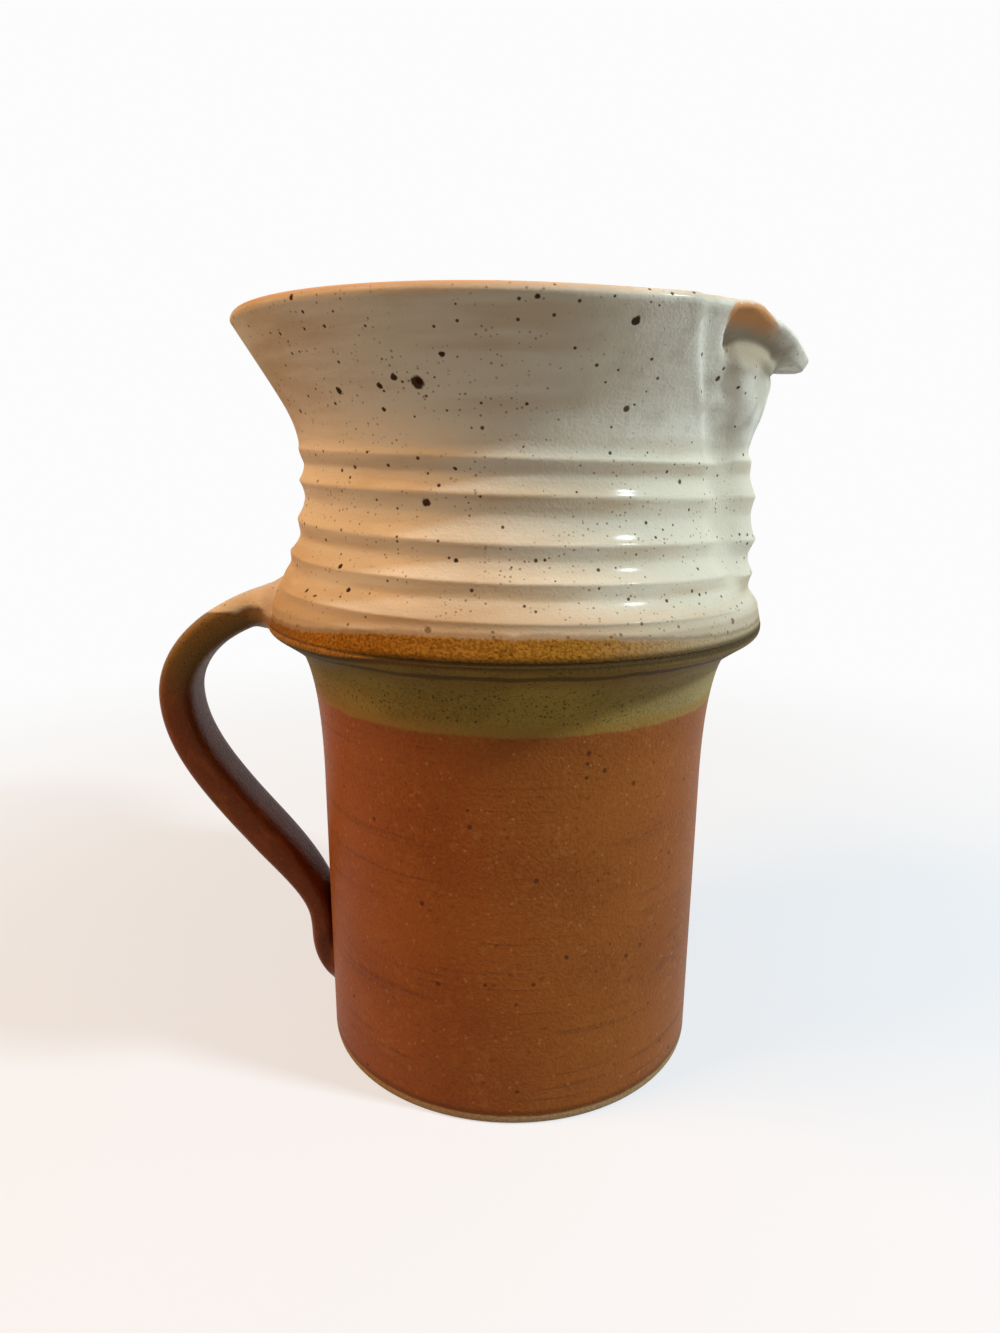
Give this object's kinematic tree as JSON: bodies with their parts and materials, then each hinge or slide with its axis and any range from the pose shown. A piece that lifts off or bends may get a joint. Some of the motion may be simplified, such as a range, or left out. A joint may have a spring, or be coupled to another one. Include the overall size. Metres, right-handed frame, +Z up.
{
  "type": "stoneware pitcher",
  "caption": "Hand-thrown stoneware pitcher with a straight body, a stepped shoulder, a ridged collar flaring to a pulled spout, and a strap handle.",
  "frame": {"origin": "centre of the flat base, on the wheel's axis", "axes": "+Z up along the wheel's axis, +X towards the spout, -X towards the handle"},
  "size_m": [0.2008, 0.1638, 0.2273],
  "materials": {
    "rust_glaze": "satin rust-brown glaze, olive green under the shoulder",
    "speckled_white_glaze": "semi-gloss warm white glaze with dark iron specks, ochre at the seam",
    "handle_glaze": "satin dark brown glaze, white over the root",
    "fired_slip": "bare fired clay"
  },
  "bodies": {
    "root": {"lower_body": "rust_glaze", "upper_collar": "speckled_white_glaze", "handle": "handle_glaze", "shoulder_slip": "fired_slip", "handle_top_slip": "fired_slip", "handle_foot_slip": "fired_slip"}
  },
  "joints": []
}
